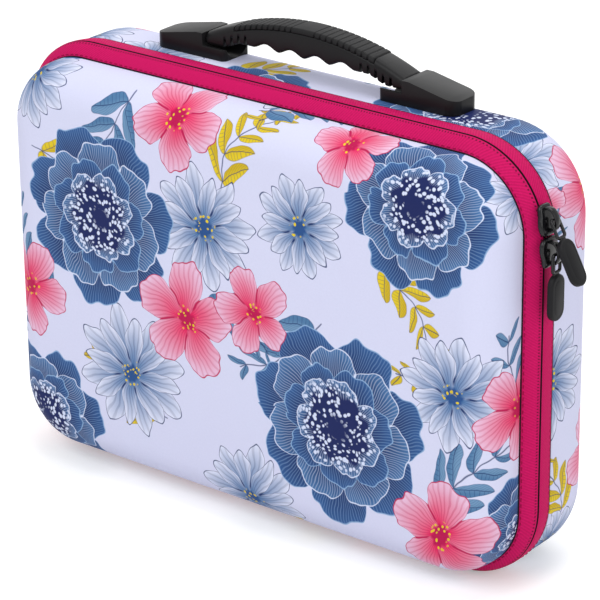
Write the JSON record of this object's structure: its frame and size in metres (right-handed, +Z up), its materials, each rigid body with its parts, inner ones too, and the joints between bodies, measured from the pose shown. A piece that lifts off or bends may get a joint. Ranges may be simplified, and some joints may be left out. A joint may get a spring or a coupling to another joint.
{
  "type": "jar sorting case",
  "caption": "Hard-shell zip case that stands on its long hinged edge, with a folding carrying handle on top and a foam tray of small capped jars inside.",
  "frame": {"origin": "on the floor, below the middle of the zipper seam and half way along the case", "axes": "+X to the right along the long side, +Y from the lid to the back, +Z up"},
  "size_m": [0.3309, 0.081, 0.2427],
  "materials": {
    "printed_shell": "matte",
    "zip_tape": "matte",
    "zip_coil": "satin",
    "hinge_cloth": "matte",
    "binding": "matte",
    "net": "matte",
    "stop_metal": "satin",
    "tray_foam": "matte",
    "jar_plastic": "gloss",
    "cap_plastic": "gloss",
    "plate_plastic": "matte",
    "screw_steel": "satin",
    "handle_plastic": "satin",
    "grip_rubber": "matte",
    "slider_gloss": "gloss",
    "tab_rubber": "matte"
  },
  "bodies": {
    "rear_case": {"rear_shell": "printed_shell", "rear_zip_tape": "zip_tape", "rear_zip_coil": "zip_coil", "rear_hinge_strip": "hinge_cloth", "rear_rim_binding": "binding", "zip_end_stops": "stop_metal", "jar_tray": "tray_foam", "jar_bodies": "jar_plastic", "jar_caps": "cap_plastic", "handle_backing_plate": "plate_plastic", "handle_screws": "screw_steel", "handle_bracket_right": "handle_plastic", "handle_bracket_left": "handle_plastic", "handle_pins": "screw_steel"},
    "lid": {"lid_shell": "printed_shell", "lid_zip_tape": "zip_tape", "lid_zip_coil": "zip_coil", "lid_hinge_strip": "hinge_cloth", "lid_rim_binding": "binding", "net_pocket": "net", "net_pocket_binding": "binding"},
    "handle": {"handle_grip": "handle_plastic", "handle_grip_pad": "grip_rubber"},
    "upper_slider": {"upper_slider": "slider_gloss"},
    "lower_slider": {"lower_slider": "slider_gloss"},
    "upper_pull": {"upper_pull_link": "slider_gloss", "upper_pull_tab": "tab_rubber"},
    "lower_pull": {"lower_pull_link": "slider_gloss", "lower_pull_tab": "tab_rubber"}
  },
  "joints": [
    {"name": "lid_hinge", "type": "hinge", "parent": "rear_case", "child": "lid", "pos_m": [0, 0, 0], "axis": [1, 0, 0], "range_deg": [0, 180]},
    {"name": "handle_fold", "type": "hinge", "parent": "rear_case", "child": "handle", "pos_m": [0, 0.027, 0.2274], "axis": [1, 0, 0], "range_deg": [-50, 50]},
    {"name": "lower_slider_run", "type": "slide", "parent": "rear_case", "child": "lower_slider", "axis": [0, 0, -1], "range_m": [0, 0.12]},
    {"name": "upper_slider_corner", "type": "hinge", "parent": "rear_case", "child": "upper_slider", "pos_m": [0.112, 0, 0.177], "axis": [0, -1, 0], "range_deg": [0, 60]},
    {"name": "upper_pull_swing", "type": "hinge", "parent": "upper_slider", "child": "upper_pull", "pos_m": [0.15952, 0, 0.18973], "axis": [0, -1, 0], "range_deg": [0, 140]},
    {"name": "lower_pull_swing", "type": "hinge", "parent": "lower_slider", "child": "lower_pull", "pos_m": [0.1612, 0, 0.1734], "axis": [0, -1, 0], "range_deg": [0, 35]}
  ]
}
